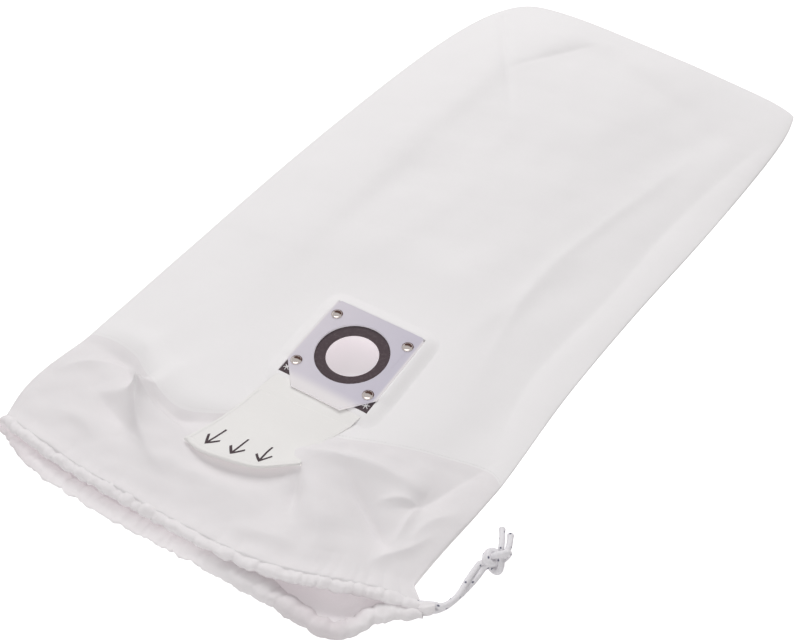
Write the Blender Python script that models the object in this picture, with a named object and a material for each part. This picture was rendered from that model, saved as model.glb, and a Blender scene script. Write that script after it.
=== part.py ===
"""Reusable cloth filter bag of a workshop dust extractor, lying flat on a bench.

Metres, +Z up. The closed end points along +Y, the drawstring mouth along -Y, and the origin is on
the bench under the middle of the bag. The hose port, its rubber and its rivets sit in the top.
"""
import math

import bmesh
import bpy
from mathutils import Matrix, Vector

# Cloth
GAP = 0.0003
FLEECE = 0.0022
SKIRT_CLOTH = 0.0014
FOLD_BAND = 0.0024
COLUMNS = 16
BODY_ROWS = 20
SKIRT_ROWS = 7

# The sewn line between the fleece body and the thin skirt, and the closed far edge
SEAM_Y = -0.2378
SEAM_SKEW = 0.190
FAR_Y = 0.4110
FAR_SKEW = -0.033
FOLD_Z = 0.0135

# Left and right fold of the body, at evenly spaced stations from the seam to the far edge
LEFT_EDGE = (-0.219, -0.219, -0.218, -0.213, -0.203, -0.188)
RIGHT_EDGE = (0.206, 0.2005, 0.202, 0.2075, 0.2105, 0.212)
LEFT_CORNER_PULL = 0.026
RIGHT_CORNER_PULL = 0.012

# How far the bag is puffed up
BODY_TOP = 0.036
PUFF = 0.014
PUFF_CENTRE = (-0.083, 0.25)
PUFF_SIZE = (0.14, 0.20)
RIGHT_DROP = 0.011

# Lips of the mouth, from the left corner to the cord's exit sleeve
FRONT_LIP = (
    (-0.2060, -0.3970, 0.0175),
    (-0.1280, -0.4020, 0.0250),
    (-0.0440, -0.3990, 0.0270),
    (0.0330, -0.3930, 0.0265),
    (0.0920, -0.3840, 0.0250),
    (0.1510, -0.3660, 0.0215),
    (0.1840, -0.3450, 0.0175),
    (0.2035, -0.3270, 0.0145),
)
BACK_LIP = (
    (-0.2090, -0.4000, 0.0055),
    (-0.1470, -0.4125, 0.0055),
    (-0.0850, -0.4115, 0.0055),
    (-0.0220, -0.4065, 0.0055),
    (0.0400, -0.4005, 0.0055),
    (0.1010, -0.3955, 0.0055),
    (0.1680, -0.3885, 0.0055),
    (0.1865, -0.3620, 0.0055),
    (0.2040, -0.3390, 0.0055),
)
SKIRT_BULGE = 0.011
CASING_OUTER = 0.0052
CASING_INNER = 0.0036
CASING_STEPS = 30
SKIRT_CASING_GAP = 0.0020

# Port assembly, stacked up from the fleece
PORT_CENTRE = (0.019, -0.166)
PORT_TURN = math.radians(3.4)
PORT_FLAT = 0.0300
FLAT_RADIUS = 0.098
FLAT_BLEND = 0.055
PLATE_SIDE = 0.100
PLATE_TONGUE = 0.0095
PLATE_NICK = 0.0045
PLATE_CHAMFER = (0.023, 0.0165)
PLATE_THICK = 0.0022
PLATE_HOLE = 0.0356
GASKET_THICK = 0.0018
PORT_HOLE = 0.0250
PATCH_SIZE = (0.118, 0.116)
PATCH_THICK = 0.0008
CLOTH_HOLE = 0.0300
BACKING_SIDE = 0.092
BACKING_THICK = 0.0015
RIVET_AT = (0.040, 0.033)
RIVET_HEAD = 0.0055
RIVET_DOME = 0.0024
RIVET_SHANK = 0.0021
RIVET_HOLE = 0.0025
RIVET_TAIL = 0.0036
RIVET_TAIL_LENGTH = 0.0016
WASHER_RADIUS = 0.0060
WASHER_THICK = 0.0008

# Pull tab, hinged on the seam's thread beside the port
TAB_ROOT = (-0.043, 0.069)
TAB_FREE = (-0.028, 0.062)
TAB_LENGTH = (0.075, 0.062)
TAB_THICK = 0.0014
TAB_LIFT = 0.015
HINGE_Z = 0.0375

# Seam allowances, folded to the inside
ALLOWANCE_WIDTH = 0.008
ALLOWANCE_THICK = 0.0024
ALLOWANCE_INSET = 0.0076

# Drawstring
CORD_RADIUS = 0.0027
CORD_SPREAD = (0.0015, 0.0025)
EXIT_START = (0.2095, -0.3325, 0.0078)
EXIT_END = (0.2245, -0.3240, 0.0078)
SLEEVE_OUTER = (0.0070, 0.0076)
SLEEVE_INNER = (0.0056, 0.0062)
CORD_RESERVE = 0.016
KNOT_CENTRE = (0.2415, -0.2590, 0.0104)
KNOT_RADII = (0.0105, 0.0125, 0.0100)
STRAND_ROUTES = {
    "cord_strand_left": (
        (0.2283, -0.3178, 0.0090),
        (0.2308, -0.3105, 0.0072),
        (0.2312, -0.3010, 0.0043),
        (0.2307, -0.2900, 0.0031),
        (0.2303, -0.2780, 0.0040),
        (0.2308, -0.2665, 0.0060),
    ),
    "cord_strand_right": (
        (0.2308, -0.3200, 0.0040),
        (0.2350, -0.3125, 0.0029),
        (0.2371, -0.3025, 0.0029),
        (0.2368, -0.2920, 0.0029),
        (0.2364, -0.2810, 0.0038),
        (0.2364, -0.2710, 0.0058),
    ),
}
END_ROUTES = {
    "cord_end_left": ((0.2378, -0.2460, 0.0085), (0.2330, -0.2375, 0.0065), (0.2268, -0.2280, 0.0038)),
    "cord_end_right": ((0.2438, -0.2452, 0.0085), (0.2405, -0.2370, 0.0062), (0.2362, -0.2290, 0.0040)),
}


def clear_scene():
    for thing in list(bpy.data.objects):
        bpy.data.objects.remove(thing, do_unlink=True)


def make_material(name, colour, roughness, metallic=0.0):
    material = bpy.data.materials.new(name)
    material.use_nodes = True
    shader = material.node_tree.nodes["Principled BSDF"]
    shader.inputs["Base Color"].default_value = (*colour, 1.0)
    shader.inputs["Roughness"].default_value = roughness
    shader.inputs["Metallic"].default_value = metallic
    return material


def add_object(name, data, material):
    thing = bpy.data.objects.new(name, data)
    bpy.context.collection.objects.link(thing)
    data.materials.append(material)
    return thing


def mesh_from(name, vertices, faces, smooth=True):
    mesh = bpy.data.meshes.new(name)
    mesh.from_pydata([tuple(v) for v in vertices], [], faces)
    if smooth:
        mesh.shade_smooth()
        mesh.set_sharp_from_angle(angle=math.radians(40))
    return mesh


def ease(value):
    value = min(max(value, 0.0), 1.0)
    return value * value * (3.0 - 2.0 * value)


def mix(first, second, share):
    return first + (second - first) * share


def curve_at(points, share):
    """Point of a smooth curve through evenly spaced points, for a share from 0 to 1."""
    spans = len(points) - 1
    index = min(int(share * spans), spans - 1)
    local = share * spans - index
    before, here = points[max(index - 1, 0)], points[index]
    after, beyond = points[index + 1], points[min(index + 2, spans)]
    square, cube = local ** 2, local ** 3
    return (
        before * (-0.5 * cube + square - 0.5 * local)
        + here * (1.5 * cube - 2.5 * square + 1.0)
        + after * (-1.5 * cube + 2.0 * square + 0.5 * local)
        + beyond * (0.5 * cube - 0.5 * square)
    )


def smooth_route(points, count):
    vectors = [Vector(p) for p in points]
    return [curve_at(vectors, i / (count - 1)) for i in range(count)]


# The bag's outer surface: across runs from -1 at the left fold to 1 at the right one,
# and along runs from 0 at the seam to 1 at the closed end.


def plan_point(across, along):
    left = curve_at(LEFT_EDGE, along)
    right = curve_at(RIGHT_EDGE, along)
    x = mix(left, right, (across + 1.0) / 2.0)
    skew = SEAM_SKEW * (1.0 - along) ** 1.5 + FAR_SKEW * along ** 3
    y = mix(SEAM_Y, FAR_Y, along) + skew * x
    pull = LEFT_CORNER_PULL if across < 0.0 else RIGHT_CORNER_PULL
    corner = pull * abs(across) ** 6 * along ** 14
    return x - math.copysign(corner, across), y - corner


def port_distance(x, y):
    return math.hypot(x - PORT_CENTRE[0], y - PORT_CENTRE[1])


def full_top(x, y):
    """Height of the bag's top away from its folds."""
    swell_x = ((x - PUFF_CENTRE[0]) / PUFF_SIZE[0]) ** 2
    swell_y = ((y - PUFF_CENTRE[1]) / PUFF_SIZE[1]) ** 2
    swell = PUFF * math.exp(-swell_x - swell_y)
    return BODY_TOP + swell - RIGHT_DROP * ease((x - 0.03) / 0.16)


def body_point(across, along, top):
    x, y = plan_point(across, along)
    if not top:
        fall = math.sqrt(max(0.0, (1.0 - abs(across) ** 12) * (1.0 - along ** 34)))
        low = FOLD_Z - FOLD_BAND
        return Vector((x, y, low * (1.0 - fall)))
    rise = math.sqrt(max(0.0, (1.0 - abs(across) ** 3) * (1.0 - along ** 11)))
    base = FOLD_Z + FOLD_BAND
    z = base + (full_top(x, y) - base) * rise
    flat = 1.0 - ease((port_distance(x, y) - FLAT_RADIUS) / FLAT_BLEND)
    return Vector((x, y, mix(z, PORT_FLAT, flat)))


def spaced_across():
    return [math.sin(math.pi * (i / COLUMNS - 0.5)) for i in range(COLUMNS + 1)]


def spaced_along():
    """Stations from the seam to the far edge, closer together towards the far edge."""
    return [math.sin(0.5 * math.pi * i / BODY_ROWS) for i in range(BODY_ROWS + 1)]


def fold_point(point, top):
    """The same place on the fold's middle line, half a gap from the other panel."""
    return Vector((point.x, point.y, FOLD_Z + (0.5 * GAP if top else -0.5 * GAP)))


def body_grid(top):
    rows = []
    for along in spaced_along():
        row = [body_point(across, along, top) for across in spaced_across()]
        rows.append([fold_point(row[0], top), *row, fold_point(row[-1], top)])
    rows.append([fold_point(point, top) for point in rows[-1]])
    return rows


def lip_point(lip, share):
    """Where the skirt meets its casing, just short of the tube."""
    points = [Vector(p) for p in lip]
    ahead = curve_at(points, min(share + 0.02, 1.0)) - curve_at(points, max(share - 0.02, 0.0))
    inward = Vector((-ahead.y, ahead.x, 0.0)).normalized()
    return curve_at(points, share) + inward * (CASING_OUTER + SKIRT_CASING_GAP)


def skirt_edge(share, top):
    """Where the two skirt panels meet at the mouth, for a share of 0 (left) or 1 (right)."""
    middle = lip_point(FRONT_LIP, share).lerp(lip_point(BACK_LIP, share), 0.5)
    middle.z += 0.5 * GAP if top else -0.5 * GAP
    return middle


def skirt_grid(top):
    lip = FRONT_LIP if top else BACK_LIP
    seam = body_grid(top)[0]
    across = [-1.0, *spaced_across(), 1.0]
    ends = [lip_point(lip, (side + 1.0) / 2.0) for side in across]
    ends[0], ends[-1] = skirt_edge(0.0, top), skirt_edge(1.0, top)
    rows = []
    for step in range(SKIRT_ROWS + 1):
        share = step / SKIRT_ROWS
        bulge = SKIRT_BULGE * math.sin(math.pi * share ** 1.3)
        row = []
        for side, start, end in zip(across, seam, ends):
            point = start.lerp(end, share)
            point.x -= bulge * max(0.0, -side) ** 3
            point.y -= 2.0 * GAP * (1.0 - share)
            row.append(point)
        rows.append(row)
    return rows


def add_panel(name, rows, top, thickness, material):
    """A cloth panel: its outer surface given as rows of points, thickened to the inside."""
    width = len(rows[0])
    faces = []
    for r in range(len(rows) - 1):
        for c in range(width - 1):
            a, b = r * width + c, r * width + c + 1
            face = (a, b, b + width, a + width)
            faces.append(face if top else face[::-1])
    mesh = mesh_from(name, [point for row in rows for point in row], faces)
    work = bmesh.new()
    work.from_mesh(mesh)
    bmesh.ops.remove_doubles(work, verts=work.verts, dist=0.00001)
    work.to_mesh(mesh)
    work.free()
    panel = add_object(name, mesh, material)
    solidify = panel.modifiers.new("thickness", "SOLIDIFY")
    solidify.thickness = thickness
    solidify.offset = -1.0
    return panel


def add_sleeve(name, path, outer, inner, material, sides=10):
    """A cloth tube along a level path, open at both ends; outer and inner are half width and height."""
    vertices, faces = [], []
    for index, centre in enumerate(path):
        ahead = path[min(index + 1, len(path) - 1)] - path[max(index - 1, 0)]
        side = Vector((ahead.y, -ahead.x, 0.0)).normalized()
        for half in (outer, inner):
            for step in range(sides):
                turn = 2.0 * math.pi * step / sides
                vertices.append(centre + side * half[0] * math.cos(turn) + Vector((0, 0, half[1] * math.sin(turn))))
    ring = 2 * sides
    for index in range(len(path) - 1):
        for step in range(sides):
            here, there = index * ring + step, index * ring + (step + 1) % sides
            faces.append((here + ring, there + ring, there, here))
            faces.append((here + sides, there + sides, there + sides + ring, here + sides + ring))
    for start, order in ((0, 1), ((len(path) - 1) * ring, -1)):
        for step in range(sides):
            here, there = start + step, start + (step + 1) % sides
            faces.append((here, there, there + sides, here + sides)[::order])
    mesh = mesh_from(name, vertices, faces)
    return add_object(name, mesh, material)


def add_cord(name, points, material):
    curve = bpy.data.curves.new(name, "CURVE")
    curve.dimensions = "3D"
    curve.bevel_depth = CORD_RADIUS
    curve.bevel_resolution = 2
    curve.use_fill_caps = True
    spline = curve.splines.new("POLY")
    spline.points.add(len(points) - 1)
    for target, point in zip(spline.points, points):
        target.co = (*point, 1.0)
    return add_object(name, curve, material)


def add_slab(name, outline, z_low, thickness, material):
    """A flat sheet with the given outline in the port's own frame."""
    mesh = bpy.data.meshes.new(name)
    work = bmesh.new()
    low = [work.verts.new((x, y, z_low)) for x, y in outline]
    face = work.faces.new(low)
    raised = bmesh.ops.extrude_face_region(work, geom=[face])["geom"]
    moved = [item for item in raised if isinstance(item, bmesh.types.BMVert)]
    bmesh.ops.translate(work, verts=moved, vec=(0.0, 0.0, thickness))
    bmesh.ops.recalc_face_normals(work, faces=work.faces)
    work.to_mesh(mesh)
    work.free()
    slab = add_object(name, mesh, material)
    slab.matrix_world = port_frame()
    return slab


def port_frame():
    return Matrix.Translation((*PORT_CENTRE, 0.0)) @ Matrix.Rotation(PORT_TURN, 4, "Z")


def rivet_places():
    return [(sx * RIVET_AT[0], sy * RIVET_AT[1]) for sy in (1, -1) for sx in (-1, 1)]


def add_cutter(name, radius):
    """Cylinders for the round hole and the four rivet holes, guides that aren't part of the bag."""
    mesh = bpy.data.meshes.new(name)
    work = bmesh.new()
    holes = [(0.0, 0.0, radius, 48)] + [(x, y, RIVET_HOLE, 16) for x, y in rivet_places()]
    for x, y, size, sides in holes:
        bmesh.ops.create_cone(
            work, cap_ends=True, segments=sides, radius1=size, radius2=size, depth=0.06,
            matrix=Matrix.Translation((x, y, PORT_FLAT)),
        )
    work.to_mesh(mesh)
    work.free()
    cutter = bpy.data.objects.new(name, mesh)
    bpy.context.collection.objects.link(cutter)
    cutter.matrix_world = port_frame()
    cutter.hide_render = True
    cutter.display_type = "WIRE"
    return cutter


def cut(thing, cutter):
    boolean = thing.modifiers.new("holes", "BOOLEAN")
    boolean.operation = "DIFFERENCE"
    boolean.solver = "EXACT"
    boolean.object = cutter


def rectangle(width, low, high):
    return [(-width / 2, low), (width / 2, low), (width / 2, high), (-width / 2, high)]


def plate_outline():
    """Square towards the closed end, with wide chamfers and a short tongue towards the mouth."""
    half = PLATE_SIDE / 2
    side, drop = PLATE_CHAMFER
    right = [
        (half - side, -half - PLATE_TONGUE),
        (half, -half + drop),
        (half, half - PLATE_NICK),
        (half - PLATE_NICK, half),
    ]
    return right + [(-x, y) for x, y in reversed(right)]


def add_turned(name, profile, place, material, segments=20):
    """A closed round solid from (radius, height) points, its first and last point on the axis."""
    vertices = [Vector((0.0, 0.0, profile[0][1]))]
    for radius, height in profile[1:-1]:
        for step in range(segments):
            turn = 2.0 * math.pi * step / segments
            vertices.append(Vector((radius * math.cos(turn), radius * math.sin(turn), height)))
    vertices.append(Vector((0.0, 0.0, profile[-1][1])))
    last = len(vertices) - 1
    faces = []
    for step in range(segments):
        after = (step + 1) % segments
        faces.append((0, 1 + step, 1 + after))
        for ring in range(len(profile) - 3):
            near, far = 1 + ring * segments, 1 + (ring + 1) * segments
            faces.append((near + step, far + step, far + after, near + after))
        end = last - segments
        faces.append((end + step, last, end + after))
    turned = add_object(name, mesh_from(name, vertices, faces), material)
    turned.matrix_world = port_frame() @ Matrix.Translation((*place, 0.0))
    return turned


def add_washer(name, place, z_low, material, segments=20):
    """A flat ring round a rivet, under the backing plate."""
    rings = [(WASHER_RADIUS, z_low), (WASHER_RADIUS, z_low + WASHER_THICK),
             (RIVET_HOLE, z_low + WASHER_THICK), (RIVET_HOLE, z_low)]
    vertices = []
    for radius, height in rings:
        for step in range(segments):
            turn = 2.0 * math.pi * step / segments
            vertices.append(Vector((radius * math.cos(turn), radius * math.sin(turn), height)))
    faces = []
    for ring in range(4):
        near, far = ring * segments, (ring + 1) % 4 * segments
        for step in range(segments):
            after = (step + 1) % segments
            faces.append((near + step, near + after, far + after, far + step))
    washer = add_object(name, mesh_from(name, vertices, faces), material)
    washer.matrix_world = port_frame() @ Matrix.Translation((*place, 0.0))


def rivet_profile(head_base, tail_top):
    """Closed rivet: domed head on the plate, shank through the stack, set tail under the washer."""
    dome = [(RIVET_HEAD * math.sin(t), head_base + RIVET_DOME * math.cos(t))
            for t in (math.radians(a) for a in (90, 65, 42, 20))]
    tail = tail_top - RIVET_TAIL_LENGTH
    low = [(0.0, tail), (0.75 * RIVET_TAIL, tail), (RIVET_TAIL, tail + 0.0006), (RIVET_TAIL, tail_top)]
    shank = [(RIVET_SHANK, tail_top), (RIVET_SHANK, head_base)]
    return (low + shank + dome + [(0.0, head_base + RIVET_DOME)])[::-1]


def add_port(cloth, plastic, rubber, metal):
    patch_low = PORT_FLAT + GAP
    gasket_low = patch_low + PATCH_THICK + GAP
    plate_low = gasket_low + GASKET_THICK + GAP
    backing_top = PORT_FLAT - FLEECE - GAP
    backing_low = backing_top - BACKING_THICK
    washer_low = backing_low - GAP - WASHER_THICK
    half = PLATE_SIDE / 2
    cloth_cut = add_cutter("cloth_holes", CLOTH_HOLE)
    patch = add_slab(
        "reinforcing_patch", rectangle(PATCH_SIZE[0], -PATCH_SIZE[1] / 2, PATCH_SIZE[1] / 2),
        patch_low, PATCH_THICK, cloth)
    cut(patch, cloth_cut)
    gasket = add_slab("rubber_gasket", rectangle(PLATE_SIDE, -half, half), gasket_low, GASKET_THICK, rubber)
    cut(gasket, add_cutter("gasket_holes", PORT_HOLE))
    plate = add_slab("port_plate", plate_outline(), plate_low, PLATE_THICK, plastic)
    cut(plate, add_cutter("plate_holes", PLATE_HOLE))
    backing = add_slab(
        "backing_plate", rectangle(BACKING_SIDE, -BACKING_SIDE / 2, BACKING_SIDE / 2),
        backing_low, BACKING_THICK, plastic)
    cut(backing, cloth_cut)
    profile = rivet_profile(plate_low + PLATE_THICK + GAP, washer_low - GAP)
    for number, place in enumerate(rivet_places(), 1):
        add_turned(f"rivet_{number}", profile, place, metal)
        add_washer(f"rivet_washer_{number}", place, washer_low, metal)
    return cloth_cut


def seam_line(x):
    return Vector((x, SEAM_Y + SEAM_SKEW * x - 0.002, HINGE_Z))


def add_pull_tab(material):
    """The loose tab, from its root on the seam to its free edge, lifted off the skirt."""
    columns, steps = 10, 7
    down = Vector((SEAM_SKEW, -1.0, 0.0)).normalized()
    rows = []
    for step in range(steps, -1, -1):
        share = step / steps
        row = []
        for column in range(columns + 1):
            side = column / columns
            x = mix(*TAB_ROOT, side)
            free_x = mix(*TAB_FREE, side)
            point = seam_line(x) + down * mix(*TAB_LENGTH, side) * share
            point.x = mix(x, free_x, share)
            point.z += 0.0016 + TAB_LIFT * share ** 1.4
            row.append(point)
        rows.append(row)
    tab = add_panel("pull_tab", rows, True, TAB_THICK, material)
    return tab


def set_origin(thing, place):
    """Put an object's origin on its joint's axis without moving its shape."""
    thing.data.transform(Matrix.Translation(-place))
    thing.location = place


def add_allowances(material):
    """The raw edges of the three closed seams, turned to the inside of the bag."""
    half = (ALLOWANCE_WIDTH / 2, ALLOWANCE_THICK / 2)
    lines = {
        "seam_allowance_left": [(-1.0, 0.02 + 0.84 * i / 12, ALLOWANCE_INSET, 0.0) for i in range(13)],
        "seam_allowance_right": [(1.0, 0.02 + 0.84 * i / 12, -ALLOWANCE_INSET, 0.0) for i in range(13)],
        "seam_allowance_end": [(-0.8 + 1.6 * i / 10, 1.0, 0.0, -ALLOWANCE_INSET) for i in range(11)],
    }
    for name, places in lines.items():
        path = []
        for across, along, inset_x, inset_y in places:
            x, y = plan_point(across, along)
            path.append(Vector((x + inset_x, y + inset_y, FOLD_Z)))
        add_bar(name, path, half, material)


def add_bar(name, path, half, material):
    """A solid strip of rectangular section along a level path."""
    vertices, faces = [], []
    for index, centre in enumerate(path):
        ahead = path[min(index + 1, len(path) - 1)] - path[max(index - 1, 0)]
        side = Vector((ahead.y, -ahead.x, 0.0)).normalized() * half[0]
        rise = Vector((0.0, 0.0, half[1]))
        vertices += [centre - side - rise, centre + side - rise, centre + side + rise, centre - side + rise]
    for index in range(len(path) - 1):
        start = 4 * index
        for corner in range(4):
            here, there = start + corner, start + (corner + 1) % 4
            faces.append((here, there, there + 4, here + 4)[::-1])
    end = len(vertices) - 4
    faces.append((0, 1, 2, 3))
    faces.append((end + 3, end + 2, end + 1, end))
    add_object(name, mesh_from(name, vertices, faces), material)


def add_drawstring(cloth, cord):
    """Casings along both lips with the cord inside, and its two ends out of the corner sleeve."""
    for name, lip in (("front", FRONT_LIP), ("back", BACK_LIP)):
        path = smooth_route(lip, CASING_STEPS)
        round_outer = (CASING_OUTER, CASING_OUTER)
        round_inner = (CASING_INNER, CASING_INNER)
        add_sleeve(f"hem_casing_{name}", path, round_outer, round_inner, cloth)
        add_cord(f"drawstring_{name}", path[1:-1], cord)
    start, end = Vector(EXIT_START), Vector(EXIT_END)
    add_sleeve("cord_exit_sleeve", [start, start.lerp(end, 0.5), end], SLEEVE_OUTER, SLEEVE_INNER, cloth, 16)
    ahead = (end - start).normalized()
    side = Vector((-ahead.y, ahead.x, 0.0)) * CORD_SPREAD[0] + Vector((0.0, 0.0, CORD_SPREAD[1]))
    for sign, (name, route) in zip((1, -1), STRAND_ROUTES.items()):
        inside = [end + side * sign - ahead * CORD_RESERVE * share for share in (1.0, 0.5, 0.0)]
        add_cord(name, smooth_route(inside + list(route), 26), cord)
    for name, route in END_ROUTES.items():
        add_cord(name, smooth_route(route, 6), cord)
    knot = bpy.data.meshes.new("cord_knot")
    work = bmesh.new()
    bmesh.ops.create_uvsphere(work, u_segments=20, v_segments=12, radius=1.0)
    bmesh.ops.scale(work, vec=KNOT_RADII, verts=work.verts)
    work.to_mesh(knot)
    work.free()
    knot.shade_smooth()
    add_object("cord_knot", knot, cord).location = KNOT_CENTRE


def main():
    clear_scene()
    fleece = make_material("filter_fleece", (0.80, 0.79, 0.79), 0.95)
    skirt = make_material("skirt_cloth", (0.78, 0.77, 0.77), 0.70)
    tab = make_material("tab_cloth", (0.82, 0.81, 0.80), 0.90)
    plastic = make_material("port_plastic", (0.62, 0.60, 0.68), 0.35)
    rubber = make_material("port_rubber", (0.05, 0.035, 0.04), 0.60)
    metal = make_material("rivet_metal", (0.75, 0.66, 0.60), 0.15, 1.0)
    cord = make_material("braided_cord", (0.80, 0.79, 0.80), 0.75)
    cloth_cut = add_port(fleece, plastic, rubber, metal)
    cut(add_panel("fleece_front", body_grid(True), True, FLEECE, fleece), cloth_cut)
    add_panel("fleece_back", body_grid(False), False, FLEECE, fleece)
    add_allowances(fleece)
    front = add_panel("skirt_front", skirt_grid(True)[::-1], True, SKIRT_CLOTH, skirt)
    add_panel("skirt_back", skirt_grid(False)[::-1], False, SKIRT_CLOTH, skirt)
    set_origin(front, seam_line(0.0))
    set_origin(add_pull_tab(tab), seam_line(0.0))
    add_drawstring(skirt, cord)


main()
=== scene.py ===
"""Looks of a reusable dust extractor filter bag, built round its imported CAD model.

Metres, in the CAD's frame: the bag lies on z = 0, +Y points to its closed end and -Y to its
drawstring mouth. Camera and cords come first, then the cloth, the hose port, light and floor.
"""
import math

import bmesh
import bpy
import numpy as np
from mathutils import Matrix, Vector


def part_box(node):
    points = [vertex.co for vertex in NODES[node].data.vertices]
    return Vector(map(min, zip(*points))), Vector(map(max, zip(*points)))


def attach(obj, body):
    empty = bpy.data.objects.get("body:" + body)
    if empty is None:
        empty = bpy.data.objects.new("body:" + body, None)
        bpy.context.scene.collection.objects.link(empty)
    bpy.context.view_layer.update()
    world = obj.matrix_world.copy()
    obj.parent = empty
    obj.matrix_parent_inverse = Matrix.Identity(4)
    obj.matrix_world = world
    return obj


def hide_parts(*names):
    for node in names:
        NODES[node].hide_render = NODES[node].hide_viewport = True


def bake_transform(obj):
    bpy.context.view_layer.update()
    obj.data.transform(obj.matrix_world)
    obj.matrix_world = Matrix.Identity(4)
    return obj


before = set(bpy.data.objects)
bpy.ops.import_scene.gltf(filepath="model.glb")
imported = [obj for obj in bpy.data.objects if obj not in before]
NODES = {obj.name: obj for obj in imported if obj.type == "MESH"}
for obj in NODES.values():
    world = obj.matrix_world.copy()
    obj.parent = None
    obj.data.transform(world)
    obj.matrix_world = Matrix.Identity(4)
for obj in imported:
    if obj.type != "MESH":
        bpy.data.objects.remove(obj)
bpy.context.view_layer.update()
MM = 0.001

# Camera
CAMERA_AT = (0.54869, -0.73817, 0.95547)
CAMERA_RIGHT = (0.80250, 0.59488, -0.04585)
CAMERA_UP = (-0.42151, 0.61965, 0.66209)
CAMERA_LENS = 58.794

# Plan of the bag, as in the CAD
SEAM_Y = -0.2378
SEAM_SKEW = 0.190
FAR_Y = 0.4110
FAR_SKEW = -0.033
LEFT_EDGE = (-0.219, -0.219, -0.218, -0.213, -0.203, -0.188)
RIGHT_EDGE = (0.206, 0.2005, 0.202, 0.2075, 0.2105, 0.212)
CORNER_PULL = (0.026, 0.012)
FOLD_Z = 0.0135
BODY_TOP = 0.034
PUFF = 0.014
PUFF_CENTRE = (-0.083, 0.25)
PUFF_SIZE = (0.14, 0.20)
RIGHT_DROP = 0.015
PORT_CENTRE = (0.019, -0.166)
PORT_TURN = math.radians(3.4)
PORT_FLAT = 0.0300
FLAT_FROM = 0.078
FLAT_TO = 0.153
CLOTH_HOLE = 0.030
HOSE_HOLE = 0.025
GASKET_HALF = 0.0490
RING_PITCH = 0.0011
RIVET_X = 0.040
RIVET_Y = 0.033
FLEECE = 0.0022
SKIRT_CLOTH = 0.0009
HEM_CLOTH = 0.0007

# Lips of the mouth, from the left corner to the cord's exit
FRONT_LIP = (
    (-0.2060, -0.3970, 0.0175), (-0.1280, -0.4020, 0.0250), (-0.0440, -0.3990, 0.0270),
    (0.0330, -0.3930, 0.0265), (0.0900, -0.3835, 0.0250), (0.1380, -0.3650, 0.0225),
    (0.1800, -0.3440, 0.0165), (0.2180, -0.3295, 0.0092),
)
BACK_LIP = (
    (-0.2090, -0.4000, 0.0070), (-0.1470, -0.4110, 0.0085), (-0.0850, -0.4100, 0.0085),
    (-0.0220, -0.4050, 0.0085), (0.0400, -0.3970, 0.0090), (0.1010, -0.3912, 0.0085),
    (0.1680, -0.3880, 0.0070), (0.1900, -0.3530, 0.0060), (0.2190, -0.3325, 0.0060),
)
LEFT_CORNER = (-0.2135, -0.3985, 0.0115)
SKIRT_BULGE = 0.011
SKIRT_LENGTH = 0.150
TUCK_PITCH = (0.0060, 0.0210)
LOWEST = 0.0003

# How the skirt's right edge is drawn in before the cord's exit: share of the way to the lip, x, y
RIGHT_PULL = (
    (0.00, 0.0, 0.0), (0.25, -0.0050, -0.0030), (0.53, -0.0117, -0.0080), (0.70, -0.0149, -0.0077),
    (0.86, -0.0173, -0.0063), (0.93, -0.0085, -0.0035), (1.00, 0.0, 0.0),
)

# The sewn line between fleece and skirt on the top, as it drapes (x, y)
SEAM_LINE = (
    (-0.219, -0.2794), (-0.200, -0.277), (-0.178, -0.276), (-0.151, -0.280), (-0.128, -0.290),
    (-0.100, -0.300), (-0.072, -0.302), (-0.046, -0.290), (-0.020, -0.272), (0.010, -0.258),
    (0.040, -0.251), (0.066, -0.246), (0.096, -0.231), (0.142, -0.209), (0.186, -0.193), (0.206, -0.1987),
)

# Drawstring, with the CAD's own route
CORD_RADIUS = 0.0027
CORD_SPREAD = (0.0015, 0.0025)
EXIT_START = (0.2095, -0.3325, 0.0078)
EXIT_END = (0.2245, -0.3240, 0.0078)
EXIT_ROUTE = (
    (0.2110, -0.3340, 0.0084), (0.2150, -0.3310, 0.0082), (0.2185, -0.3288, 0.0080),
    (0.2218, -0.3264, 0.0078), (0.2250, -0.3238, 0.0078),
)
CORD_RESERVE = 0.016
KNOT_CENTRE = (0.2415, -0.2590, 0.0104)
KNOT_SIZE = (0.00300, 0.00325, 0.00290)
KNOT_TURN = math.radians(35)
KNOT_TILT = math.radians(58)
KNOT_SPREAD = 0.0022
STRANDS = {
    "left": (1, (
        (0.2288, -0.3198, 0.0088), (0.2324, -0.3124, 0.0081), (0.2338, -0.3022, 0.0080),
        (0.2324, -0.2912, 0.0078), (0.2314, -0.2797, 0.0074), (0.2313, -0.2692, 0.0080),
    )),
    "right": (-1, (
        (0.2290, -0.3180, 0.0034), (0.2314, -0.3106, 0.0030), (0.2332, -0.3008, 0.0029),
        (0.2346, -0.2905, 0.0031), (0.2356, -0.2800, 0.0042), (0.2360, -0.2702, 0.0060),
    )),
}
TAILS = {
    "left": ((0.2378, -0.2460, 0.0085), (0.2330, -0.2375, 0.0065), (0.2268, -0.2280, 0.0038)),
    "right": ((0.2438, -0.2452, 0.0085), (0.2405, -0.2370, 0.0062), (0.2362, -0.2290, 0.0040)),
}
BRAID_STEP = 0.00045
BRAID_PITCH = 0.0078
FLECK_PITCH = (0.0048, 0.0078)
FLECK_TURN = 2.4
FLECK_RADIUS = 0.0006

# Grid sizes, and how much closer together the body's lines are at its sides and closed end
COLUMNS = 230
BODY_ROWS = 210
SIDE_CROWD = 0.86
END_CROWD = 0.94
SKIRT_ROWS = 96
HEM_STEPS = 760
HEM_SIDES = 20
EXIT_STEPS = 60
EXIT_SIDES = 48
BRAID_SIDES = 28
LATHE_SIDES = 48
GASKET_SIDES = 128
THREAD_SIDES = 6
WAVES = 14

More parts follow.
